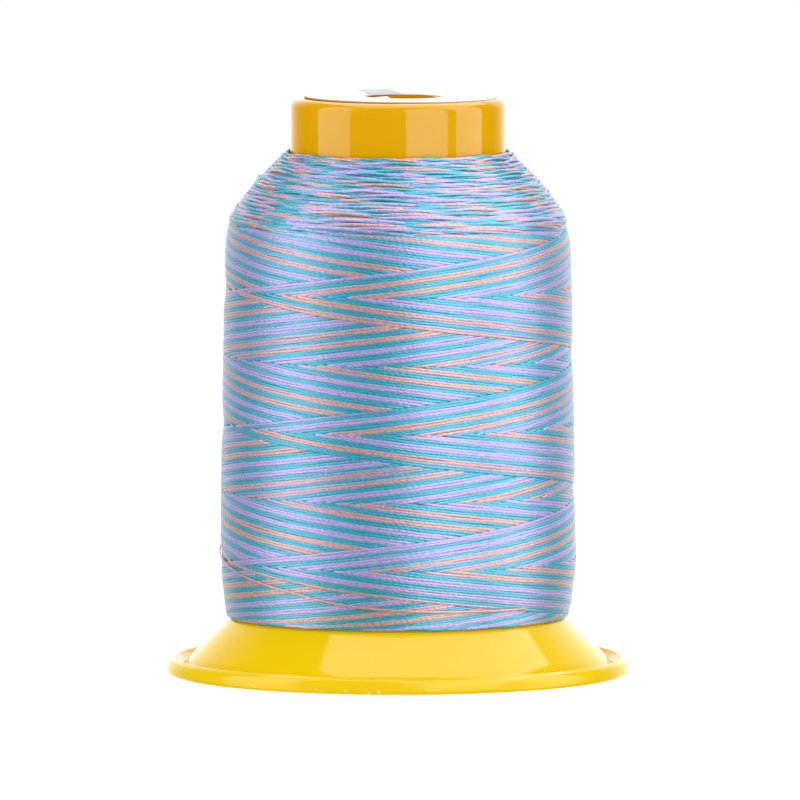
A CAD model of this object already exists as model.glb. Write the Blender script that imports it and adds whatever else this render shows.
"""A small king spool of space-dyed woolly serger thread, shut on its push-fit base dish.

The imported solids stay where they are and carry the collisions. What is seen is made here: two
gloss mouldings, a paper label with a torn hole, and the package, wound strand by strand along the
path of the winder's traverse guide. Shapes are worked out in millimetres and go into the meshes in
metres.
"""

import logging
import math
from collections.abc import Sequence
from dataclasses import dataclass, field
from enum import Enum
from typing import Any

import bpy
import numpy as np
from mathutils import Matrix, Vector


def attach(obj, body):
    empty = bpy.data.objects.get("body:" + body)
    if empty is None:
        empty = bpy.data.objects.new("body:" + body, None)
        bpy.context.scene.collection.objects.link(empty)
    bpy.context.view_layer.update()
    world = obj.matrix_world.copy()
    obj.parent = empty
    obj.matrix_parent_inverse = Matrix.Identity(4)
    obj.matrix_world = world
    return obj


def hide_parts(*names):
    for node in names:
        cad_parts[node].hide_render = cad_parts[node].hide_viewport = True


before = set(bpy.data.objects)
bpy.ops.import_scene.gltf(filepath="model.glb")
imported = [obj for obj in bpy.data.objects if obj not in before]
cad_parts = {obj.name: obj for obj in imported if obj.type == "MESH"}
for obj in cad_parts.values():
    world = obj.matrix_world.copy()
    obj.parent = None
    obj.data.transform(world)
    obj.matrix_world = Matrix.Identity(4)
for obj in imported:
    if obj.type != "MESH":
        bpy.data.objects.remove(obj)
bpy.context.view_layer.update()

LOG = logging.getLogger("spool")
MM = 0.001
BAKE_MAP = "OFBake"
YARN_MAP = "yarn"
YARN_MAP_START_MM = 400
DYE = "dye"


class Body(Enum):
    """The two bodies that the slide joins."""

    BASE = "base"
    SPOOL = "spool"


class Slot(Enum):
    """The record's material slots."""

    PLASTIC = "yellow_plastic"
    YARN = "dyed_yarn"
    PAPER = "label_paper"


class Finish(Enum):
    """The finishes, of which the label's paper has two: its face and its torn underside."""

    PLASTIC = "plastic"
    YARN = "yarn"
    PAPER = "paper"
    PAPER_BACK = "paper_back"

    @property
    def slot(self) -> Slot:
        """The material slot that a finish belongs to."""
        return Slot[self.name.split("_")[0]]


def join(*runs: Sequence) -> np.ndarray:
    """Puts runs of points end to end and drops the points that repeat the one before.

    Args:
        runs: lists of (radius, height) points.

    Returns:
        One array of points.
    """
    points = np.vstack([np.atleast_2d(np.asarray(run, float)) for run in runs])
    new = np.r_[True, np.linalg.norm(np.diff(points, axis=0), axis=1) > 1e-6]
    return points[new]


def bend(start: Sequence, control: Sequence, end: Sequence, steps: int = 10) -> np.ndarray:
    """A quadratic curve: (1-t) squared of start, 2t(1-t) of control and t squared of end.

    Args:
        start: first point.
        control: point that both ends head for.
        end: last point.
        steps: number of pieces.

    Returns:
        The curve's points, both ends among them.
    """
    t = np.linspace(0, 1, steps + 1)[:, None]
    a, b, c = (np.asarray(p, float) for p in (start, control, end))
    return (1 - t) ** 2 * a + 2 * t * (1 - t) * b + t**2 * c


def ease(x: np.ndarray) -> np.ndarray:
    """A smooth step from 0 to 1 as x goes from 0 to 1."""
    x = np.clip(x, 0, 1)
    return x * x * (3 - 2 * x)


def polar(radius: np.ndarray, turn: np.ndarray, z: np.ndarray) -> np.ndarray:
    """Points from a radius, a turn counted rightwards from the front, and a height.

    Args:
        radius: distance from the axis.
        turn: share of a full turn from -Y, growing towards +X.
        z: height.

    Returns:
        An array with x, y, z last.
    """
    angle = 2 * math.pi * np.asarray(turn)
    radius, angle, z = np.broadcast_arrays(radius, angle, z)
    return np.stack([radius * np.sin(angle), -radius * np.cos(angle), z], axis=-1)


def cubic(x: np.ndarray, places: np.ndarray, values: np.ndarray) -> np.ndarray:
    """A smooth curve through points: a cubic in each gap, with the points' mean slopes.

    Args:
        x: where the curve is wanted, between the first place and the last.
        places: places of the points, growing.
        values: values of the points.

    Returns:
        The curve's values at x.
    """
    slopes = np.gradient(values, places)
    i = np.clip(np.searchsorted(places, x) - 1, 0, len(places) - 2)
    width = places[i + 1] - places[i]
    t = (x - places[i]) / width
    ends = (2 * t**3 - 3 * t**2 + 1) * values[i] + (3 * t**2 - 2 * t**3) * values[i + 1]
    bends = (t**3 - 2 * t**2 + t) * slopes[i] + (t**3 - t**2) * slopes[i + 1]
    return ends + bends * width


def cells(rows: int, columns: int, flip: bool = False) -> tuple[np.ndarray, np.ndarray]:
    """Row and column of the four corners of each cell in a grid.

    Args:
        rows: number of rows of cells.
        columns: number of columns of cells.
        flip: goes round each cell the other way.

    Returns:
        The corners' rows and their columns, a line of four for each cell.
    """
    i, j = (a.ravel() for a in np.meshgrid(np.arange(rows), np.arange(columns), indexing="ij"))
    row = np.stack([i, i, i + 1, i + 1], axis=1)
    column = np.stack([j, j + 1, j + 1, j], axis=1)
    order = [0, 3, 2, 1] if flip else [0, 1, 2, 3]
    return row[:, order], column[:, order]


@dataclass
class Fabric:
    """Vertices, faces and maps of one mesh, before it goes to Blender.

    The points are in millimetres. Each corner map has a row (u, v) per corner of the faces in
    their order, and each point value a number per point.
    """

    points: np.ndarray
    faces: list[np.ndarray]
    corner_maps: dict[str, np.ndarray] = field(default_factory=dict)
    point_values: dict[str, np.ndarray] = field(default_factory=dict)

    def piece(self, name: str, sharp: float = 180.0) -> bpy.types.Object:
        """Makes the Blender object, at the origin and in metres.

        Args:
            name: the piece's name.
            sharp: degrees past which an edge is creased.

        Returns:
            The linked object.
        """
        mesh = bpy.data.meshes.new(name)
        corners = np.concatenate([f.ravel() for f in self.faces]).astype(np.int32)
        sides = np.concatenate([np.full(len(f), f.shape[1]) for f in self.faces])
        starts = np.r_[0, np.cumsum(sides)[:-1]].astype(np.int32)
        mesh.vertices.add(len(self.points))
        mesh.vertices.foreach_set("co", (self.points * MM).astype(np.float32).ravel())
        mesh.loops.add(len(corners))
        mesh.loops.foreach_set("vertex_index", corners)
        mesh.polygons.add(len(starts))
        mesh.polygons.foreach_set("loop_start", starts)
        mesh.polygons.foreach_set("use_smooth", np.ones(len(starts), bool))
        for title, uv in self.corner_maps.items():
            layer = mesh.uv_layers.new(name=title, do_init=False)
            layer.uv.foreach_set("vector", uv.astype(np.float32).ravel())
        for title, values in self.point_values.items():
            attribute = mesh.attributes.new(title, "FLOAT", "POINT")
            attribute.data.foreach_set("value", values.astype(np.float32))
        mesh.update(calc_edges=True)
        mesh.validate()
        if sharp < 180:
            mesh.set_sharp_from_angle(angle=math.radians(sharp))
        obj = bpy.data.objects.new(name, mesh)
        bpy.context.scene.collection.objects.link(obj)
        return obj


def ring_fabric(points: np.ndarray) -> Fabric:
    """A closed ring: rows run along a closed profile, columns round the axis.

    Args:
        points: rows x columns x 3, the profile listed anticlockwise.

    Returns:
        The surface, whose faces point outwards, with its bake map laid out row by column.
    """
    rows, columns = points.shape[:2]
    row, column = cells(rows, columns)
    faces = (row % rows) * columns + column % columns
    uv = np.stack([column / columns, row / rows], axis=-1).reshape(-1, 2)
    return Fabric(points.reshape(-1, 3), [faces], {BAKE_MAP: uv})


def lathe(profile: np.ndarray, turns: np.ndarray) -> np.ndarray:
    """Carries a profile of (radius, height) round the axis: radius times (sin, -cos), height."""
    return polar(profile[:, None, 0], turns[None, :], profile[:, None, 1])


@dataclass(frozen=True)
class CoreMoulding:
    """Collar, tube and flared skirt, one moulding."""

    top_z: float = 76.42
    collar_r: float = 14.26
    round_r: float = 1.2
    wall: float = 1.2
    deck: float = 1.4
    hole_r: float = 5.0
    flat_edge: float = 0.3
    flare: tuple = ((14.26, 17.82), (14.26, 15.52), (16.0, 13.82))
    skirt: tuple = ((27.0, 2.82), (28.1, 1.72), (28.3, 0.84))
    skirt_inside: tuple = ((26.15, 1.97), (27.1, 0.84))
    columns: int = 192

    def profile(self) -> np.ndarray:
        """Outline of the moulding, anticlockwise: its inside is the flare moved by the wall."""
        angle = np.linspace(math.pi / 2, 0, 13)
        centre = self.collar_r - self.round_r, self.top_z - self.round_r
        rounding = np.stack([centre[0] + self.round_r * np.cos(angle),
                             centre[1] + self.round_r * np.sin(angle)], axis=1)
        flare = join(bend(*self.flare, steps=12), self.skirt[0])
        along = np.gradient(flare, axis=0)
        along /= np.linalg.norm(along, axis=1, keepdims=True)
        moved = flare + self.wall * np.stack([along[:, 1], -along[:, 0]], axis=1)
        inside = join(moved[:-1], *self.skirt_inside)
        outside = join(flare, bend(*self.skirt, steps=12))
        top = [(self.hole_r, self.top_z), (centre[0] - self.flat_edge, self.top_z)]
        under = self.top_z - self.deck
        ceiling = [(self.collar_r - self.wall, under), (self.hole_r, under)]
        return join(top, rounding, outside, inside[::-1], ceiling)[::-1]

    def build(self) -> bpy.types.Object:
        """Makes the moulding, a fine lathe of its profile."""
        turns = np.arange(self.columns) / self.columns
        return ring_fabric(lathe(self.profile(), turns)).piece("core_moulding", sharp=35)


@dataclass(frozen=True)
class DishMoulding:
    """Base dish with foot, lip and spigot, one moulding, and the stub left where it was filled."""

    floor_z: float = 0.8
    gap: float = 0.3
    foot: tuple = (26.4, 29.75)
    foot_height: float = 0.3
    rim_r: float = 30.6
    rim_z: tuple = (0.7, 0.95)
    lip: tuple = (29.5, 30.1)
    lip_z: float = 2.2
    wall_foot_r: float = 28.75
    wall_bend_z: float = 1.35
    spigot: tuple = (11.6, 12.76)
    spigot_z: float = 22.32
    gate_turn: float = 0.0238
    gate_half: float = 0.0062
    gate_proud: float = 0.1
    gate_side: tuple = (1.1, 0.25)
    gate_top: tuple = (0.75, 0.15)
    step_turns: tuple = (0.0, 0.0035, 0.06, 0.13)
    step_down: float = 0.16
    step_fade: float = 0.5
    columns: int = 224

    def profile(self) -> np.ndarray:
        """Outline of the moulding, anticlockwise, with the curves of lip, rim and foot."""
        low, high = self.rim_z
        lip_side = self.lip_z - self.gap / 2
        middle = sum(self.lip) / 2, self.lip_z + self.gap / 2
        floor, wall = self.floor_z, self.wall_foot_r
        return join(
            [(self.spigot[0], self.foot_height), (self.spigot[0], self.spigot_z)],
            [(self.spigot[1], self.spigot_z), (self.spigot[1], floor)],
            bend((wall - self.gap, floor), (wall, floor), (wall, floor + self.gap), 5),
            bend((wall, floor + self.gap), (self.lip[0] - self.gap, self.wall_bend_z),
                 (self.lip[0], lip_side), 8),
            bend((self.lip[0], lip_side), middle, (self.lip[1], lip_side), 8),
            bend((self.lip[1], lip_side), (self.rim_r, self.lip_z - self.gap), (self.rim_r, high), 8),
            bend((self.rim_r, low), (self.rim_r, 0), (self.foot[1], 0), 10),
            [(self.foot[0], 0), (self.foot[0] - self.foot_height, self.foot_height)],
        )[::-1]

    def build(self) -> bpy.types.Object:
        """Makes the moulding: the profile's lathe, with the rim pushed out round the gate's stub."""
        even = np.arange(self.columns) / self.columns
        near = self.gate_turn + np.linspace(-2, 2, 41) * self.gate_half
        seam = np.linspace(0, self.step_turns[1], 4)
        turns = np.unique(np.round(np.r_[even, near % 1.0, seam], 5))
        profile = self.profile()
        radius = np.repeat(profile[:, :1], len(turns), axis=1)
        z = profile[:, 1:]
        beside = np.abs((turns - self.gate_turn + 0.5) % 1.0 - 0.5) / self.gate_half
        stub = (ease((self.gate_side[0] - beside) / self.gate_side[1])
                * ease((self.gate_top[0] - z) / self.gate_top[1]))
        radius = radius + self.gate_proud * stub * (radius > self.foot[1] - 0.01)
        left, sharp, slow, right = self.step_turns
        lower = ease((turns - left) / (sharp - left)) * ease((right - turns) / (right - slow))
        outer = ease((z - self.wall_bend_z) / self.step_fade) * (z < self.lip_z + 1)
        z = z - self.step_down * lower * outer
        points = polar(radius, turns[None, :], z)
        return ring_fabric(points).piece("dish_moulding", sharp=35)


@dataclass(frozen=True)
class Package:
    """Outline of the wound package, height and radius, from its lower edge to its top."""

    heights: tuple = (7.42, 9.52, 11.92, 14.12, 19.02, 27.02, 34.92, 43.72, 53.22, 58.02, 59.92,
                      61.12, 62.72, 65.12, 67.52, 69.22)
    radii: tuple = (22.95, 23.2, 23.45, 23.75, 23.7, 23.65, 23.5, 23.35, 23.15, 22.9, 22.5,
                    21.95, 20.85, 18.95, 16.7, 14.95)
    apex: tuple = (51.22, -69 / 360)
    pitch: float = 18.0
    step: float = 0.22
    bore_r: float = 14.56
    cone: tuple = ((16.0, 13.82), (24.5, 5.32))
    lift: float = 0.15
    probe: float = 0.2

    def radius(self, z: np.ndarray) -> np.ndarray:
        """The outline's radius at a height, and past its ends that of the end."""
        heights = np.array(self.heights)
        return cubic(np.clip(z, heights[0], heights[-1]), heights, np.array(self.radii))

    def slope(self, z: np.ndarray) -> np.ndarray:
        """How fast the radius grows with height."""
        return (self.radius(z + self.probe) - self.radius(z - self.probe)) / (2 * self.probe)

    def drop(self, turn: np.ndarray, z: np.ndarray) -> np.ndarray:
        """How far the wound surface lies under the outline: a strand's height times the shares of
        a pitch since the newest climbing and the newest falling strand passed there."""
        away = (np.asarray(z) - self.apex[0]) / self.pitch
        round_it = np.asarray(turn) - self.apex[1]
        return self.step * ((round_it - away) % 1.0 + (round_it + away) % 1.0)

    def seat_z(self, radius: np.ndarray) -> np.ndarray:
        """Lowest height of thread at a radius, above the cone of the skirt."""
        (r0, z0), (r1, z1) = self.cone
        return z0 + (z1 - z0) / (r1 - r0) * (radius - r0) + self.lift


@dataclass
class Strand:
    """One visible run of thread, point by point along its middle."""

    turn: np.ndarray
    z: np.ndarray
    radius: np.ndarray
    size: np.ndarray
    dye: np.ndarray
    start_mm: float


@dataclass(frozen=True)
class Yarn:
    """The thread's section, and how tubes are made of runs of it."""

    half_width: float = 0.222
    half_height: float = 0.1
    sides: int = 8
    tip: float = 0.12

    def spin(self, name: str, strands: list[Strand], package: Package) -> bpy.types.Object:
        """Makes one piece of many tubes.

        A tube's ring is its middle plus sin of half_width across and -cos of half_height outwards,
        so that the seam of its map lies on the inside. Each end is closed on a point.

        Args:
            name: the piece's name.
            strands: the runs.
            package: gives the slope that the section lies on.

        Returns:
            The piece.
        """
        points, quads, fans, dyes = [], [], [], []
        quad_yarn, quad_bake, fan_yarn, fan_bake = [], [], [], []
        side = np.arange(self.sides)
        theta = 2 * math.pi * side / self.sides
        first = 0
        for row, s in enumerate(strands):
            centre = polar(s.radius, s.turn, s.z)
            tangent = np.gradient(centre, axis=0)
            tangent /= np.linalg.norm(tangent, axis=1, keepdims=True)
            lean = package.slope(s.z)
            outward = polar(np.ones_like(lean), s.turn, -lean)
            across = np.cross(tangent, outward)
            across /= np.linalg.norm(across, axis=1, keepdims=True)
            outward = np.cross(across, tangent)
            ring = (across[:, None] * np.sin(theta)[None, :, None] * self.half_width
                    - outward[:, None] * np.cos(theta)[None, :, None] * self.half_height)
            rings = centre[:, None] + ring * s.size[:, None, None]
            tips = centre[[0, -1]] + tangent[[0, -1]] * np.array([[-self.tip], [self.tip]])
            count = len(centre)
            points += [rings.reshape(-1, 3), tips]
            dyes += [np.repeat(s.dye, self.sides), s.dye[[0, -1]]]
            along = np.r_[0, np.cumsum(np.linalg.norm(np.diff(centre, axis=0), axis=1))]
            r, c = cells(count - 1, self.sides, flip=True)
            quads.append(first + r * self.sides + c % self.sides)
            quad_yarn.append(np.stack([s.start_mm + along[r], c / self.sides], axis=-1))
            strip = (row + 0.1 + 0.8 * c / self.sides) / len(strands)
            quad_bake.append(np.stack([0.002 + 0.996 * along[r] / along[-1], strip], axis=-1))
            ends = first + count * self.sides
            last = first + (count - 1) * self.sides
            after = (side + 1) % self.sides
            fans.append(np.stack([np.full(self.sides, ends), first + side, first + after], axis=1))
            fans.append(np.stack([np.full(self.sides, ends + 1), last + after, last + side], axis=1))
            v = np.stack([side + 0.5, side, side + 1], axis=1) / self.sides
            v_end = np.stack([side + 0.5, side + 1, side], axis=1) / self.sides
            for edge, way, length in ((0.0, v, 0.0), (1.0, v_end, along[-1])):
                tip_u = length + self.tip * (2 * edge - 1)
                u = np.broadcast_to([tip_u, length, length], way.shape)
                fan_yarn.append(np.stack([s.start_mm + u, way], axis=-1))
                inner = 0.002 + 0.996 * edge
                u = np.broadcast_to([edge, inner, inner], way.shape)
                fan_bake.append(np.stack([u, (row + 0.1 + 0.8 * way) / len(strands)], axis=-1))
            first = ends + 2
        maps = {
            BAKE_MAP: np.concatenate([m.reshape(-1, 2) for m in quad_bake + fan_bake]),
            YARN_MAP: np.concatenate([m.reshape(-1, 2) for m in quad_yarn + fan_yarn]),
        }
        faces = [np.concatenate(quads), np.concatenate(fans)]
        fabric = Fabric(np.concatenate(points), faces, maps, {DYE: np.concatenate(dyes)})
        return fabric.piece(name)


@dataclass(frozen=True)
class SpaceDye:
    """How the dye lies along the thread.

    A repeat holds a stretch of turquoise and a warmer one, which is lilac twice and then peach
    twice. Four repeats are a little longer than a pass, so neighbouring strands nearly agree. The
    phase is the length along the thread over the repeat, less a waver, as no dyeing is even. The
    waver is one and two waves to a pass, and changes slowly from pass to pass.
    """

    repeat_mm: float = 236.65
    cycle_mm: float = 885.05
    turn_mm: float = 148.0
    passes: int = 50
    start: float = 0.23
    waves: tuple = ((0.135, -0.044, -0.079, -0.094), (-0.373, 0.148, 0.028, 0.105))

    @property
    def pass_turns(self) -> float:
        """Turns in a pass, so that each starts where the one before ended."""
        return 6 - 1 / self.passes

    def phase(self, run: float, turns: np.ndarray) -> np.ndarray:
        """Phase at a number of turns into a pass.

        Args:
            run: how many passes ago it was wound.
            turns: turns from the start of the pass.

        Returns:
            Repeats from the start of the thread, the newest end highest.
        """
        mm = turns * self.turn_mm - run * self.cycle_mm
        angle = 2 * math.pi * turns / self.pass_turns
        shapes = np.sin(angle), np.cos(angle), np.sin(2 * angle), np.cos(2 * angle)
        age = run / self.passes
        waver = sum((now + age * change) * shape for now, change, shape in zip(*self.waves, shapes))
        return self.start + mm / self.repeat_mm - waver


def wander(rng: np.random.Generator, mm: np.ndarray, sizes: Sequence[float]) -> np.ndarray:
    """A smooth random walk along a strand: a few sine waves of random start.

    Args:
        rng: source of the starts.
        mm: length along the strand.
        sizes: height of the waves, which are 31, 11 and 4.7 mm long.

    Returns:
        The sum of the waves.
    """
    starts = rng.uniform(0, 2 * math.pi, 3)
    waves = (31.0, 11.0, 4.7)
    return sum(a * np.sin(2 * math.pi * mm / w + s) for a, w, s in zip(sizes, waves, starts))


class Way(Enum):
    """Which way a pass is going, as the first and last half turn that it shows."""

    CLIMBING = (-6, 0)
    FALLING = (0, 6)


@dataclass(frozen=True)
class Winding:
    """Cross-winding of the outer layer.

    A pass climbs three turns at one pitch a turn and falls three, and the next one lies a fiftieth
    of a turn further back, so that fifty passes tile the package. In each half turn a pass shows
    from the point where it crosses itself to the point where the newest strand covers it.
    """

    package: Package
    yarn: Yarn
    dye: SpaceDye
    top_z: float = 60.35
    top_ease: float = 0.04
    foot_ease: float = 0.075
    sink: float = 0.17
    sink_runs: float = 5.0
    under: float = 0.3
    tuck: float = 0.16
    lead: float = 0.018
    tail: float = 0.012
    spacing: float = 0.0094
    dive: tuple = (0.5, -0.15)
    dive_length: float = 0.55
    wander_z: tuple = (0.025, 0.022, 0.012)
    wander_r: tuple = (0.006, 0.008, 0.006)
    wander_size: tuple = (0.02, 0.035, 0.03)
    size_spread: float = 0.02

    def origin(self, run: int) -> float:
        """Turn at which a pass has its top."""
        return self.package.apex[1] + 0.5 + run / self.dye.passes

    def height(self, x: np.ndarray) -> np.ndarray:
        """Height of the path, x turns past its top: a zigzag with both of its points rounded.

        Args:
            x: turns from the top of the pass, negative on the climb.

        Returns:
            Heights: the top less the pitch times the root of x squared and ease squared.
        """
        turns = self.dye.pass_turns
        away = np.minimum(np.abs(x), turns - np.abs(x))
        left = turns / 2 - away
        foot = np.sqrt(left**2 + self.foot_ease**2) - left
        return self.top_z - self.package.pitch * (np.sqrt(away**2 + self.top_ease**2) - foot)

    def window(self, run: int, half: int, rng: np.random.Generator) -> Strand | None:
        """The run of a pass that shows in one half turn.

        Args:
            run: how many passes ago it was wound.
            half: number of half turns from the top of the pass to the crossing it starts at.
            rng: source of its unevenness.

        Returns:
            The strand, with its ends tucked under its neighbours, or None if it is too short.
        """
        age = run / self.dye.passes
        reach = self.dye.pass_turns / 2
        start = max(half / 2, -reach)
        end = min(half / 2 + (1 - age) / 2, reach)
        if end - start < self.lead:
            return None
        climbing = half < 0
        steps = max(2, math.ceil((end - start) / self.spacing))
        x = np.r_[np.linspace(start - self.lead, start + self.lead, 9),
                  np.linspace(start + self.lead, end - self.tail, steps),
                  np.linspace(end - self.tail, end + self.tail, 6)]
        x = np.unique(np.round(x, 5))
        past = np.clip(x - half / 2, 0, (1 - age) / 2)
        mm = x * self.dye.turn_mm
        z = self.height(x) + wander(rng, mm, self.wander_z)
        # at a crossing the falling strand lies over the climbing one
        dive = self.dive[0 if climbing else 1] * self.lead
        below = self.under * ease((start + dive - x) / (self.dive_length * self.lead))
        last = self.tuck * ease((x - end + self.tail) / self.tail)
        # the newest strands slip down at the edge of the layer
        sunk = self.sink * max(0.0, 1 - run / self.sink_runs)
        radius = self.package.radius(z) - self.package.step * (2 * age + 2 * past) - sunk
        radius = radius - self.yarn.half_height - below - last
        radius += wander(rng, mm, self.wander_r)
        size = 1 + wander(rng, mm, self.wander_size) + rng.normal(0, self.size_spread)
        dye = self.dye.phase(run, x + reach)
        z = np.maximum(z, self.package.seat_z(radius))
        return Strand(x + self.origin(run), z, radius, size, dye, rng.uniform(0, YARN_MAP_START_MM))

    def strands(self, way: Way) -> list[Strand]:
        """All runs that go one way, the oldest passes first."""
        rng = np.random.default_rng(41 + len(way.name))
        found = [self.window(run, half, rng)
                 for run in reversed(range(self.dye.passes)) for half in range(*way.value)]
        return [s for s in found if s is not None]


@dataclass(frozen=True)
class Shoulder:
    """Turning points of the older layers, each ending a little higher than the one over it."""

    package: Package
    yarn: Yarn
    dye: SpaceDye
    layers: int = 20
    first_z: float = 60.47
    last_z: float = 69.17
    arcs: int = 46
    half_turn: float = 0.09
    ease_turn: float = 0.04
    over: float = 0.06
    over_turn: float = 0.02
    dive: float = 0.36
    dive_from: float = 0.62
    points: int = 13
    top_spread: tuple = (0.12, 0.3)
    highest_z: float = 69.2
    wander_z: tuple = (0.04, 0.03, 0.015)
    wander_r: tuple = (0.012, 0.012, 0.008)
    wander_size: tuple = (0.02, 0.04, 0.03)
    radius_spread: float = 0.018
    turn_spread: float = 1.5 / 360
    size_spread: float = 0.04
    dye_spread: float = 4
    layer_runs: int = 60

    def strands(self) -> list[Strand]:
        """Arcs of all layers: each falls either side of its top by the pitch times the root of
        x squared and ease squared, less the ease, and its falling half lies on the climbing ones.
        """
        rng = np.random.default_rng(97)
        found = []
        for layer, top in enumerate(np.linspace(self.first_z, self.last_z, self.layers)):
            seam = rng.uniform(0, 1)
            began = rng.uniform(0, self.dye_spread)
            base_r = float(self.package.radius(top))
            for arc in range(self.arcs):
                x = np.linspace(-self.half_turn, self.half_turn, self.points)
                bowed = np.sqrt(x**2 + self.ease_turn**2) - self.ease_turn
                mm = x * 2 * math.pi * base_r
                usual, most = self.top_spread
                jitter = float(np.clip(rng.normal(0, usual), -most, min(most, self.highest_z - top)))
                z = top + jitter - self.package.pitch * bowed
                z = z + wander(rng, mm, self.wander_z)
                past = np.abs(x) / self.half_turn - self.dive_from
                end = self.dive * ease(past / (1 - self.dive_from))
                crossing = self.over * np.tanh(x / self.over_turn)
                radius = base_r - self.yarn.half_height + crossing - end
                radius = radius + rng.normal(0, self.radius_spread) + wander(rng, mm, self.wander_r)
                radius = np.maximum(radius, self.package.bore_r + self.yarn.half_height)
                turn = seam + arc / self.arcs + x + rng.normal(0, self.turn_spread)
                size = 1.0 + rng.normal(0, self.size_spread) + wander(rng, mm, self.wander_size)
                dye = began + self.dye.phase(arc + self.layer_runs * layer, x)
                found.append(Strand(turn, z, radius, size, dye, rng.uniform(0, YARN_MAP_START_MM)))
        return found


@dataclass(frozen=True)
class LastTurn:
    """The last stray turn of thread, which crosses the package and is tucked in at its foot."""

    package: Package
    yarn: Yarn
    stops: tuple = ((-0.62, 26.52), (-0.5, 23.22), (-0.375, 19.72), (-0.25, 16.27),
                    (-0.1556, 13.67), (-0.0978, 12.25), (-0.055, 11.14), (0.011, 10.32),
                    (0.08, 10.07), (0.16, 10.02))
    dye_phase: float = 2.72
    size: float = 0.78
    proud: float = 0.1
    points: int = 130
    end_turns: tuple = (0.02, 0.06)
    end_depth: float = 0.55
    smooth: int = 6
    start_mm: float = 3.0

    def strand(self) -> Strand:
        """The strand: heights eased between the stops, its two ends going under the others."""
        turns, heights = np.array(self.stops).T
        x = np.linspace(turns[0], turns[-1], self.points)
        z = cubic(x, turns, heights)
        first, last = self.end_turns
        ends = ease((x - turns[0]) / first) * ease((turns[-1] - x) / last)
        span = 2 * self.smooth + 1
        steps = np.pad(self.package.drop(x, z), self.smooth, "edge")
        drop = np.convolve(steps, np.ones(span) / span, "valid")
        radius = self.package.radius(z) - drop + self.proud - (1 - ends) * self.end_depth
        size, dye = np.full_like(x, self.size), np.full_like(x, self.dye_phase)
        return Strand(x, z, radius, size, dye, self.start_mm)


@dataclass(frozen=True)
class ThreadBed:
    """The mass of older thread under the strands that are wound one by one."""

    package: Package
    depth: float = 0.7
    shoulder_depth: float = 0.26
    shoulder_z: tuple = (58.0, 62.0)
    inset: tuple = (0.9, 0.5)
    least_wall: float = 0.1
    foot_width: float = 0.4
    bore_foot_z: float = 17.82
    band_mm: float = 1.6
    strand_mm: float = 0.36
    around_mm: float = 147.0
    rows: int = 70
    columns: int = 144

    def build(self) -> bpy.types.Object:
        """Makes the closed ring of thread: the outline less the depth, the cone and the bore."""
        p = self.package
        z = np.linspace(p.heights[0] + self.inset[0], p.heights[-1] - self.inset[1], self.rows)
        low, high = self.shoulder_z
        depth = self.depth + (self.shoulder_depth - self.depth) * ease((z - low) / (high - low))
        outside = np.stack([np.maximum(p.radius(z) - depth, p.bore_r + self.least_wall), z], axis=1)
        under = [(r, p.seat_z(r)) for r in (outside[0, 0] - self.foot_width, p.cone[0][0])]
        inside = [(p.bore_r, z[-1]), (p.bore_r, self.bore_foot_z)]
        outside[:, 1] = np.maximum(outside[:, 1], p.seat_z(outside[:, 0]))
        profile = join(outside, inside, under[::-1])
        turns = np.arange(self.columns) / self.columns
        fabric = ring_fabric(lathe(profile, turns))
        heights = fabric.points[:, 2]
        fabric.point_values[DYE] = heights / self.band_mm
        bake = fabric.corner_maps[BAKE_MAP]
        across = heights[fabric.faces[0].ravel()] / self.strand_mm
        fabric.corner_maps[YARN_MAP] = np.stack([bake[:, 0] * self.around_mm, across], axis=1)
        return fabric.piece("thread_bed")


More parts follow.
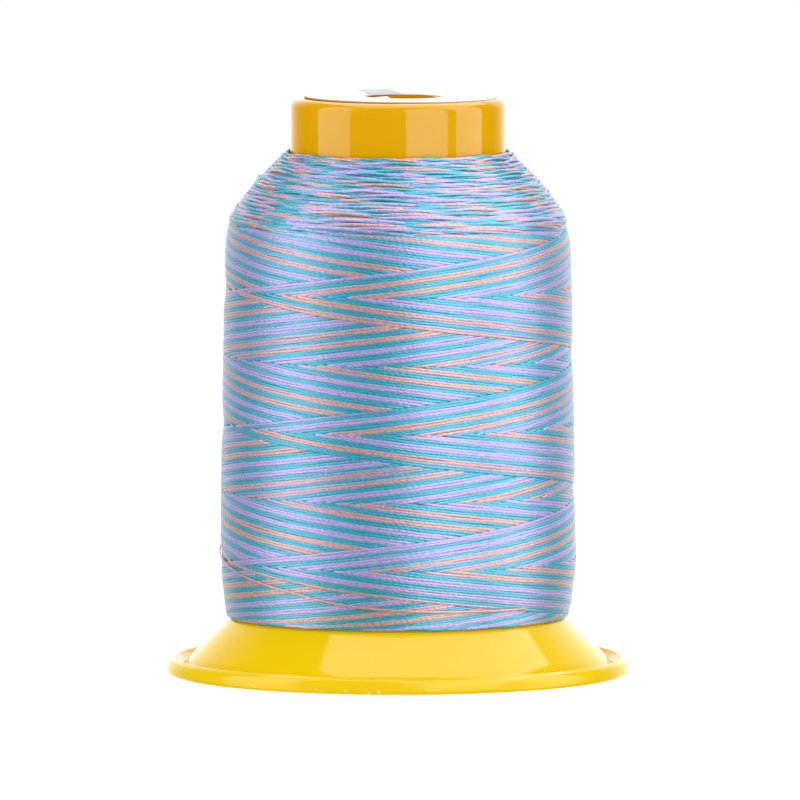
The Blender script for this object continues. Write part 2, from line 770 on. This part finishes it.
@dataclass(frozen=True)
class TopLabel:
    """The round paper label, its punched hole and the torn paper left at the hole's edge."""

    radius: float = 12.75
    offset_x: float = 0.35
    hole_r: float = 5.12
    hole_x: float = 0.63
    low_z: float = 76.43
    top_z: float = 76.6
    tilt: float = -0.008
    under_tilt: float = 0.3
    torn_from: float = 0.15
    torn_sheet: float = 0.09
    columns: int = 240

    def disc(self) -> bpy.types.Object:
        """Makes the sheet: a ring from the hole's circle to the rim's, its face a little higher
        on the left."""
        turns = np.arange(self.columns) / self.columns
        share = np.linspace(0, 1, 9)[:, None]
        hole = polar(np.full(self.columns, self.hole_r), turns, 0.0) + [self.hole_x, 0, 0]
        rim = polar(np.full(self.columns, self.radius), turns, 0.0) + [self.offset_x, 0, 0]
        sheet = hole[None] * (1 - share[..., None]) + rim[None] * share[..., None]
        under, over = sheet + [0, 0, self.low_z], sheet + [0, 0, self.top_z]
        under[..., 2] += self.under_tilt * self.tilt * (sheet[..., 0] - self.radius)
        over[..., 2] += self.tilt * sheet[..., 0]
        return ring_fabric(np.concatenate([under, over[::-1]])).piece("label_disc", sharp=40)

    def flap(self, base: Sequence, tip: Sequence, lift: float, curl: float) -> Fabric:
        """A torn tongue of paper: a sheet ruled from its base line to its tip line, bowed up.

        Args:
            base: two turns on the hole's edge between which the paper is still attached.
            tip: two points (x, y) where the torn end lies.
            lift: height of the torn end over the label.
            curl: how far the middle stands over the straight line.

        Returns:
            The closed flap.
        """
        wide = np.linspace(0, 1, 15)
        far = np.linspace(0, 1, 10)[:, None]
        edge = base[0] + (base[1] - base[0]) * wide
        foot = polar(self.hole_r + self.torn_from, edge, 0.0)[:, :2]
        foot = foot + [self.hole_x, 0]
        end = np.outer(1 - wide, tip[0]) + np.outer(wide, tip[1])
        ragged = 1 + 0.01 * np.sin(wide * 23) + 0.006 * np.sin(wide * 51 + 1)
        plan = foot[None] + (end - foot)[None] * (far * ragged)[..., None]
        z = self.top_z + lift * far * ragged + curl * np.sin(math.pi * far) * np.ones_like(wide)
        over = np.concatenate([plan, z[..., None]], axis=2)
        sheet = np.concatenate([over, (over - [0, 0, self.torn_sheet])[:, ::-1]], axis=1)
        rows, columns = sheet.shape[:2]
        row, column = cells(rows - 1, columns)
        sides = row * columns + column % columns
        k = np.arange(columns // 2 - 1)
        cap = np.stack([k, columns - 1 - k, columns - 2 - k, k + 1], axis=1)
        caps = np.concatenate([cap, (cap + (rows - 1) * columns)[:, ::-1]])
        uv = np.stack([column / columns, row / rows], axis=-1).reshape(-1, 2)
        cap_uv = np.zeros((caps.size, 2)) + np.tile([[0, 0.97], [0, 1], [0.05, 1], [0.05, 0.97]],
                                                    (len(caps), 1))
        faces = np.concatenate([sides, caps])
        return Fabric(sheet.reshape(-1, 3), [faces], {BAKE_MAP: np.concatenate([uv, cap_uv])})

    def flaps(self) -> list[bpy.types.Object]:
        """Makes the grey underside of the paper folded back, and the small tongue in front."""
        back = self.flap((0.634, 0.503), ((-5.3, 5.2), (-1.3, 6.6)), 0.52, 0.06)
        front = self.flap((-0.134, -0.049), ((-1.75, -3.6), (-1.45, -3.7)), 0.2, 0.03)
        return [back.piece("label_flap_back", sharp=40), front.piece("label_flap_front", sharp=40)]


class Number:
    """A number on its way through a material's nodes; an expression on it adds Math nodes."""

    def __init__(self, bench: "Bench", socket: bpy.types.NodeSocket) -> None:
        """Wraps an output socket."""
        self.bench = bench
        self.socket = socket

    def maths(self, operation: str, *values: "Number | float") -> "Number":
        """Adds a Math node.

        Args:
            operation: Blender's name of it.
            values: its inputs, in order.

        Returns:
            The result.
        """
        made = self.bench.node("Math", {"operation": operation}, dict(enumerate(values)))
        return Number(self.bench, made.outputs[0])

    def __add__(self, other: "Number | float") -> "Number":
        """Sum."""
        return self.maths("ADD", self, other)

    def __radd__(self, other: float) -> "Number":
        """Sum with a plain number in front."""
        return self.maths("ADD", other, self)

    def __sub__(self, other: "Number | float") -> "Number":
        """Difference."""
        return self.maths("SUBTRACT", self, other)

    def __rsub__(self, other: float) -> "Number":
        """Difference from a plain number."""
        return self.maths("SUBTRACT", other, self)

    def __mul__(self, other: "Number | float") -> "Number":
        """Product."""
        return self.maths("MULTIPLY", self, other)

    def __rmul__(self, other: float) -> "Number":
        """Product with a plain number in front."""
        return self.maths("MULTIPLY", other, self)

    def fraction(self) -> "Number":
        """What is left above the whole number below it."""
        return self.maths("FRACT", self)

    def sine(self) -> "Number":
        """Sine, of radians."""
        return self.maths("SINE", self)

    def step(self, low: float, high: float) -> "Number":
        """A smooth step from 0 to 1 between two values, which may run either way."""
        made = self.bench.node("MapRange", {"interpolation_type": "SMOOTHSTEP"},
                               {"Value": self, "From Min": low, "From Max": high})
        return Number(self.bench, made.outputs[0])


class Bench:
    """One material's node tree, and the few ways that nodes are added to it."""

    def __init__(self, name: str) -> None:
        """Starts a material with its Principled shader."""
        self.material = bpy.data.materials.new(name)
        self.material.use_nodes = True
        self.tree = self.material.node_tree
        self.shader = self.tree.nodes["Principled BSDF"]

    @classmethod
    def on(cls, tree: bpy.types.NodeTree) -> "Bench":
        """Works on a tree that is there already, such as the world's."""
        bench = cls.__new__(cls)
        bench.tree = tree
        return bench

    def node(self, kind: str, settings: dict[str, Any], sockets: dict[Any, Any]) -> bpy.types.Node:
        """Adds a node.

        Args:
            kind: its type without the ShaderNode in front.
            settings: its options, and stops for a colour ramp's places and colours.
            sockets: values or links of its inputs, by name or number.

        Returns:
            The node.
        """
        made = self.tree.nodes.new("ShaderNode" + kind)
        for name, value in settings.items():
            if name == "stops":
                elements = made.color_ramp.elements
                while len(elements) < len(value):
                    elements.new(1.0)
                for element, (place, colour) in zip(elements, value):
                    element.position = place
                    element.color = (*colour, 1.0)
            else:
                setattr(made, name, value)
        for name, value in sockets.items():
            self.feed(made.inputs[name], value)
        return made

    def feed(self, socket: bpy.types.NodeSocket, value: Any) -> None:
        """Links a socket to a number or output, or sets it to a plain value."""
        if isinstance(value, Number):
            self.tree.links.new(value.socket, socket)
        elif isinstance(value, bpy.types.NodeSocket):
            self.tree.links.new(value, socket)
        elif socket.type == "RGBA":
            socket.default_value = (*value, 1.0)
        else:
            socket.default_value = value

    def number(self, kind: str, settings: dict[str, Any], sockets: dict[Any, Any],
               output: str | int = 0) -> Number:
        """Adds a node and takes one of its outputs as a number."""
        return Number(self, self.node(kind, settings, sockets).outputs[output])

    def noise(self, vector: Any, scale: float, detail: float = 2.0) -> Number:
        """Smooth noise from 0 to 1 on a vector."""
        return self.number("TexNoise", {}, {"Vector": vector, "Scale": scale, "Detail": detail}, "Fac")

    def scaled(self, vector: Any, scale: tuple, shift: tuple = (0, 0, 0)) -> bpy.types.NodeSocket:
        """Scales a vector and then shifts it, each axis by its own amount."""
        made = self.node("Mapping", {}, {"Vector": vector, "Location": shift, "Scale": scale})
        return made.outputs[0]

    def off_axis(self, place: Any, middle_mm: float = 0.0) -> Number:
        """Distance from an upright line that stands a little to the right of the axis."""
        flat = self.scaled(place, (1.0, 1.0, 0.0), (-middle_mm * MM, 0.0, 0.0))
        return self.number("VectorMath", {"operation": "LENGTH"}, {0: flat}, "Value")

    def blend(self, how: str, share: Any, first: Any, second: Any) -> bpy.types.NodeSocket:
        """Mixes two colours.

        Args:
            how: Blender's name of the mix, such as MIX or MULTIPLY.
            share: how much of the mix applies.
            first: colour below.
            second: colour above.

        Returns:
            The mixed colour's socket.
        """
        made = self.node("Mix", {"data_type": "RGBA", "blend_type": how}, {})
        self.feed(made.inputs["Factor"], share)
        colours = [s for s in made.inputs if s.type == "RGBA"]
        self.feed(colours[0], first)
        self.feed(colours[1], second)
        return next(s for s in made.outputs if s.type == "RGBA")

    def bump(self, height: Number, strength: float, distance_mm: float) -> bpy.types.NodeSocket:
        """Turns a height into a normal."""
        made = self.node("Bump", {}, {"Height": height, "Strength": strength,
                                      "Distance": distance_mm * MM})
        return made.outputs["Normal"]

    def finish(self, **sockets: Any) -> bpy.types.Material:
        """Feeds the shader's sockets, named with underscores for spaces, and gives the material."""
        for name, value in sockets.items():
            self.feed(self.shader.inputs[name.replace("_", " ")], value)
        return self.material


@dataclass(frozen=True)
class GlossPlastic:
    """Yellow moulded plastic: even colour, a soft gloss, and marks that only show close to."""

    low_colour: tuple = (0.98, 0.65, 0.002)
    high_colour: tuple = (0.84, 0.425, 0.002)
    mark_colour: tuple = (0.95, 0.8, 0.45)
    lip_colour: tuple = (1.0, 0.88, 0.5)
    lip_mm: tuple = (28.6, 29.3)
    roughness: float = 0.075
    deepen_mm: tuple = (15.0, 65.0)
    scuffs: tuple = ((-10.8, -28.6, 0.5), (-10.2, -28.8, 0.35), (-6.8, -29.8, 0.45),
                     (-3.8, -30.3, 0.3), (-2.5, -30.5, 0.4))
    scuff_mm: tuple = (0.3, -0.1)

    def material(self) -> bpy.types.Material:
        """Builds the nodes.

        The colour deepens towards the collar, where the plastic stands over the hollow core. Flow
        marks are broad noise, and handling marks are the rare high points of a fine one. The rim is
        duller, and has a few scuffs in front. The inside of the dish's thin lip is paler.
        """
        bench = Bench("yellow_plastic")
        place = bench.node("TexCoord", {}, {}).outputs["Object"]
        height = bench.number("SeparateXYZ", {}, {0: place}, "Z")
        rise = height.step(self.deepen_mm[0] * MM, self.deepen_mm[1] * MM)
        colour = bench.blend("MIX", rise, self.low_colour, self.high_colour)
        out = bench.off_axis(place)
        low, high = (mm * MM for mm in self.lip_mm)
        inner = out.step(low - 0.2 * MM, low) * (1 - out.step(high, high + 0.2 * MM))
        colour = bench.blend("MIX", 0.85 * inner, colour, self.lip_colour)
        flow = bench.noise(place, 90.0, 3.0)
        colour = bench.blend("MULTIPLY", 0.06 * flow, colour, (0.9, 0.84, 0.7))
        grain = bench.noise(place, 1500.0, 2.0)
        scuffs = grain.step(0.7, 0.76)
        patches = bench.noise(place, 160.0, 1.0).step(0.56, 0.66)
        edge = 1 - height.step(0.6 * MM, 1.3 * MM)
        marks = scuffs * (0.25 * patches + 0.9 * edge * patches)
        for spot in self.scuffs:
            away = bench.number("VectorMath", {"operation": "DISTANCE"},
                                {0: place, 1: tuple(mm * MM for mm in spot)}, "Value")
            ragged = away + 0.0009 * (grain - 0.5)
            marks = marks.maths("MAXIMUM", marks, ragged.step(*(mm * MM for mm in self.scuff_mm)))
        colour = bench.blend("MIX", marks, colour, self.mark_colour)
        worn = 1 - height.step(1.0 * MM, 1.8 * MM)
        rough = self.roughness + 0.02 * bench.noise(place, 240.0, 3.0) + 0.3 * marks + 0.16 * worn
        skin = bench.noise(place, 2600.0, 2.0) + 6.0 * bench.noise(place, 130.0, 1.0)
        return bench.finish(Base_Color=colour, Roughness=rough,
                            Normal=bench.bump(skin, 0.08, 0.02), Specular_IOR_Level=0.2)


@dataclass(frozen=True)
class DyedYarn:
    """Textured filament thread, space-dyed, with the sparkle of its fine filaments."""

    turquoise: tuple = (0.002, 0.33, 0.48)
    blue: tuple = (0.2, 0.31, 0.56)
    peach: tuple = (0.525, 0.295, 0.29)
    pink: tuple = (0.46, 0.305, 0.44)
    lilac: tuple = (0.38, 0.315, 0.64)
    roughness: float = 0.38

    def stops(self) -> list[tuple[float, tuple]]:
        """Places and colours of the dye over four repeats: turquoise, and through blue and an edge
        colour the warm one and back."""
        warm = ((self.lilac, self.lilac), (self.lilac, self.lilac),
                (self.pink, self.peach), (self.pink, self.peach))
        found = []
        for repeat, (edge, middle) in enumerate(warm):
            run = ((0.03, self.turquoise), (0.41, self.turquoise), (0.46, self.blue),
                   (0.51, edge), (0.6, middle), (0.88, middle), (0.95, edge), (0.99, self.blue))
            found += [((repeat + place) / 4, colour) for place, colour in run]
        return found

    def material(self) -> bpy.types.Material:
        """Builds the nodes.

        The dye's phase picks the colour from a ramp four repeats long. Filaments are noise drawn
        out along the thread, and the two plies are a sine of the length and the way round.
        """
        bench = Bench("dyed_yarn")
        phase = bench.number("Attribute", {"attribute_name": DYE}, {}, "Fac")
        spot = bench.node("UVMap", {"uv_map": YARN_MAP}, {}).outputs["UV"]
        filaments = bench.noise(bench.scaled(spot, (2.9, 3.4, 1.0)), 1.0, 3.0)
        uneven = bench.noise(bench.scaled(spot, (0.11, 0.0, 1.0)), 1.0, 2.0)
        along = bench.node("SeparateXYZ", {}, {0: spot})
        twist = (Number(bench, along.outputs["X"]) * (2 * math.pi / 0.85)
                 + Number(bench, along.outputs["Y"]) * (4 * math.pi)).sine()
        ragged = phase + 0.06 * (filaments - 0.5) + 0.10 * (uneven - 0.5)
        ramp = bench.node("ValToRGB", {"stops": self.stops()}, {0: (ragged * 0.25).fraction()})
        light = 1.0 + 1.2 * (filaments - 0.5) + 0.05 * twist
        shade = bench.node("CombineXYZ", {}, {0: light, 1: light, 2: light}).outputs[0]
        colour = bench.blend("MULTIPLY", 1.0, ramp.outputs["Color"], shade)
        height = 0.7 * filaments + 0.3 * twist
        return bench.finish(Base_Color=colour, Roughness=self.roughness,
                            Normal=bench.bump(height, 0.35, 0.05), Sheen_Weight=0.38,
                            Sheen_Roughness=0.4, Specular_IOR_Level=0.8, Metallic=0.12)


@dataclass(frozen=True)
class LabelPaper:
    """Plain uncoated white paper, a little uneven, with its fibres in the bump."""

    name: str = "label_paper"
    colour: tuple = (0.96, 0.96, 0.955)
    shade: tuple = (0.9, 0.9, 0.89)
    cut_colour: tuple = (0.72, 0.36, 0.1)
    cut_mm: tuple = (12.7, 12.74)
    middle_mm: float = TopLabel.offset_x

    def material(self) -> bpy.types.Material:
        """Builds the nodes: cloudy formation in the colour, crossed fibres in the bump."""
        bench = Bench(self.name)
        place = bench.node("TexCoord", {}, {}).outputs["Object"]
        cloud = bench.noise(place, 900.0, 4.0)
        colour = bench.blend("MIX", 0.35 * cloud, self.colour, self.shade)
        out = bench.off_axis(place, self.middle_mm)
        cut = out.step(self.cut_mm[0] * MM, self.cut_mm[1] * MM)
        colour = bench.blend("MIX", cut, colour, self.cut_colour)
        fibres = (bench.noise(bench.scaled(place, (9000.0, 1500.0, 3000.0)), 1.0)
                  + bench.noise(bench.scaled(place, (1300.0, 8000.0, 3000.0)), 1.0))
        rough = 0.72 + 0.15 * cloud
        return bench.finish(Base_Color=colour, Roughness=rough,
                            Normal=bench.bump(fibres, 0.35, 0.03), Specular_IOR_Level=0.3)


def hang_panel(name: str, size: tuple, place: tuple, radiance: float) -> bpy.types.Object:
    """Hangs a light panel that only shows in the gloss, facing down.

    Args:
        name: its name.
        size: its width and height in metres.
        place: where its middle is.
        radiance: its brightness, times area times pi its power.

    Returns:
        The panel.
    """
    lamp = bpy.data.lights.new(name, "AREA")
    lamp.shape = "RECTANGLE"
    lamp.size, lamp.size_y = size
    lamp.energy = radiance * lamp.size * lamp.size_y * math.pi
    holder = bpy.data.objects.new(name, lamp)
    holder.location = place
    holder.visible_camera = holder.visible_diffuse = False
    bpy.context.scene.collection.objects.link(holder)
    return holder


@dataclass(frozen=True)
class Softbox:
    """A white light panel, seen in the gloss but not by the camera."""

    name: str
    turns: tuple[float, float]
    heights: tuple[float, float]
    distance: float
    radiance: float

    def build(self) -> None:
        """Stands the panel upright round the object, facing it.

        Its middle lies at the mean of its two bearings in degrees, and its width spans them.
        """
        middle = math.radians(sum(self.turns) / 2)
        half = math.radians(self.turns[1] - self.turns[0]) / 2
        size = 2 * self.distance * math.tan(half), self.heights[1] - self.heights[0]
        x, y = self.distance * math.sin(middle), -self.distance * math.cos(middle)
        panel = hang_panel(self.name, size, (x, y, sum(self.heights) / 2), self.radiance)
        panel.rotation_euler = Vector((-x, -y, 0)).to_track_quat("-Z", "Y").to_euler()


@dataclass(frozen=True)
class Studio:
    """White lightbox, a round white table, softboxes and the photograph's camera."""

    softboxes: tuple = (
        Softbox("left_softbox", (-94.0, -52.0), (-0.6, 0.64), 0.5, 4.4),
        Softbox("front_softbox", (8.5, 54.0), (-0.6, 0.64), 0.5, 5.3),
        Softbox("right_softbox", (64.0, 100.0), (-0.6, 0.64), 0.5, 5.0),
    )
    overhead_size: tuple = (0.808, 0.85)
    overhead_at: tuple = (0.134, 0.175, 0.6)
    overhead_radiance: float = 4.5
    ambient: float = 1.05
    ambient_side: float = 0.1
    wall_radiance: float = 2.0
    wall_side: float = 0.35
    wall_rise: tuple = (0.5, 1.1)
    table_r: float = 0.6
    table_z_mm: float = -0.02
    table_rings: int = 12
    table_columns: int = 96
    distance: float = 2.2
    elevation: float = 4.7
    aim_mm: tuple = (0.26, 0.0, 36.27)
    lens: float = 750.0

    def world(self) -> None:
        """Lights the room: white to the camera, brighter from the right to the object's colours,
        and in its gloss only a bright wall that rises behind it."""
        world = bpy.data.worlds.new("lightbox")
        world.use_nodes = True
        bench = Bench.on(world.node_tree)
        path = bench.node("LightPath", {}, {})
        seen, diffuse, glossy = (Number(bench, path.outputs[f"Is {kind} Ray"])
                                 for kind in ("Camera", "Diffuse", "Glossy"))
        heading = bench.node("TexCoord", {}, {}).outputs["Generated"]
        side, back, up = (bench.number("SeparateXYZ", {}, {0: heading}, axis) for axis in "XYZ")
        wall = self.wall_radiance * (1 + self.wall_side * side) * (back + 0.2 * up).step(*self.wall_rise)
        ambient = self.ambient + self.ambient_side * side
        total = seen + diffuse * ambient + glossy * wall
        background = world.node_tree.nodes["Background"]
        background.inputs["Color"].default_value = (1, 1, 1, 1)
        bench.feed(background.inputs["Strength"], total)
        bpy.context.scene.world = world

    def table(self) -> None:
        """Makes the round table top, a fan of rings, white enough to lose its shadows."""
        rings, columns = self.table_rings, self.table_columns
        spoke = np.arange(columns)
        radii = np.linspace(0.02, 1, rings)[:, None] * self.table_r / MM
        points = polar(radii, spoke[None] / columns, self.table_z_mm)
        row, column = cells(rings - 1, columns, flip=True)
        ring = row * columns + column % columns
        centre = np.stack([np.full(columns, rings * columns), spoke, (spoke + 1) % columns], axis=1)
        points = np.vstack([points.reshape(-1, 3), [[0, 0, self.table_z_mm]]])
        top = Fabric(points, [ring, centre]).piece("studio_table")
        bench = Bench("white_table")
        seen = bench.number("LightPath", {}, {}, "Is Camera Ray")
        glow = bench.blend("MIX", seen, (0.75, 0.75, 0.75), (1.0, 1.0, 1.0))
        top.data.materials.append(bench.finish(
            Base_Color=(0.1, 0.1, 0.1), Roughness=0.9, Specular_IOR_Level=0.0,
            Emission_Color=glow, Emission_Strength=1.0))
        top.visible_glossy = False

    def camera(self) -> None:
        """Sets the camera at the photograph's distance and angle, aimed at the picture's middle."""
        lens = bpy.data.cameras.new("photo_camera")
        lens.lens, lens.sensor_width = self.lens, 36.0
        lens.clip_start, lens.clip_end = 0.1, 50.0
        holder = bpy.data.objects.new("photo_camera", lens)
        aim = Vector(self.aim_mm) * MM
        rise = math.radians(self.elevation)
        back = Vector((0, -math.cos(rise), math.sin(rise)))
        holder.location = aim + back * (self.distance / math.cos(rise))
        holder.rotation_euler = back.to_track_quat("Z", "Y").to_euler()
        bpy.context.scene.collection.objects.link(holder)
        bpy.context.scene.camera = holder

    def build(self) -> None:
        """Builds the whole studio."""
        self.world()
        self.table()
        hang_panel("overhead_softbox", self.overhead_size, self.overhead_at, self.overhead_radiance)
        for softbox in self.softboxes:
            softbox.build()
        self.camera()
        bpy.context.scene.view_settings.view_transform = "Standard"


@dataclass
class Spool:
    """The whole object: builds its pieces, dresses them and ties them to the bodies."""

    core: CoreMoulding = field(default_factory=CoreMoulding)
    dish: DishMoulding = field(default_factory=DishMoulding)
    package: Package = field(default_factory=Package)
    yarn: Yarn = field(default_factory=Yarn)
    dye: SpaceDye = field(default_factory=SpaceDye)
    label: TopLabel = field(default_factory=TopLabel)
    finishes: dict = field(default_factory=lambda: {
        Finish.PLASTIC: GlossPlastic().material(),
        Finish.YARN: DyedYarn().material(),
        Finish.PAPER: LabelPaper().material(),
        Finish.PAPER_BACK: LabelPaper("label_back", (0.66, 0.67, 0.68), (0.44, 0.45, 0.46)).material(),
    })

    def place(self, piece: bpy.types.Object, body: Body, finish: Finish, node: str) -> None:
        """Dresses a piece and says what it rides on and what it stands for.

        Args:
            piece: the finished object.
            body: the body that it moves with.
            finish: what it is made of.
            node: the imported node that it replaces.
        """
        piece.data.materials.clear()
        piece.data.materials.append(self.finishes[finish])
        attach(piece, body.value)
        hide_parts(node)
        faces = sum(len(p.vertices) - 2 for p in piece.data.polygons)
        LOG.info("%s: %d triangles on %s", piece.name, faces, body.value)

    def build_mouldings(self) -> None:
        """Makes the two plastic mouldings."""
        self.place(self.core.build(), Body.SPOOL, Finish.PLASTIC, "spool_core")
        self.place(self.dish.build(), Body.BASE, Finish.PLASTIC, "base_dish")

    def build_thread(self) -> None:
        """Makes the package: its bed, the two ways of the outer layer, the shoulder, the last turn."""
        winding = Winding(self.package, self.yarn, self.dye)
        shoulder = Shoulder(self.package, self.yarn, self.dye)
        last = LastTurn(self.package, self.yarn)
        runs = {
            "thread_climbing": winding.strands(Way.CLIMBING),
            "thread_falling": winding.strands(Way.FALLING),
            "thread_shoulder": shoulder.strands(),
            "thread_last_turn": [last.strand()],
        }
        self.place(ThreadBed(self.package).build(), Body.SPOOL, Finish.YARN, "wound_thread")
        for name, strands in runs.items():
            piece = self.yarn.spin(name, strands, self.package)
            self.place(piece, Body.SPOOL, Finish.YARN, "wound_thread")

    def build_label(self) -> None:
        """Makes the paper label and its torn edge."""
        back, front = self.label.flaps()
        for piece, finish in ((self.label.disc(), Finish.PAPER), (back, Finish.PAPER_BACK),
                              (front, Finish.PAPER)):
            self.place(piece, Body.SPOOL, finish, "top_label")


def main() -> None:
    """Builds the studio and the spool in order."""
    logging.basicConfig(level=logging.INFO, format="%(name)s: %(message)s")
    Studio().build()
    spool = Spool()
    spool.build_mouldings()
    spool.build_thread()
    spool.build_label()


if __name__ == "__main__":
    main()
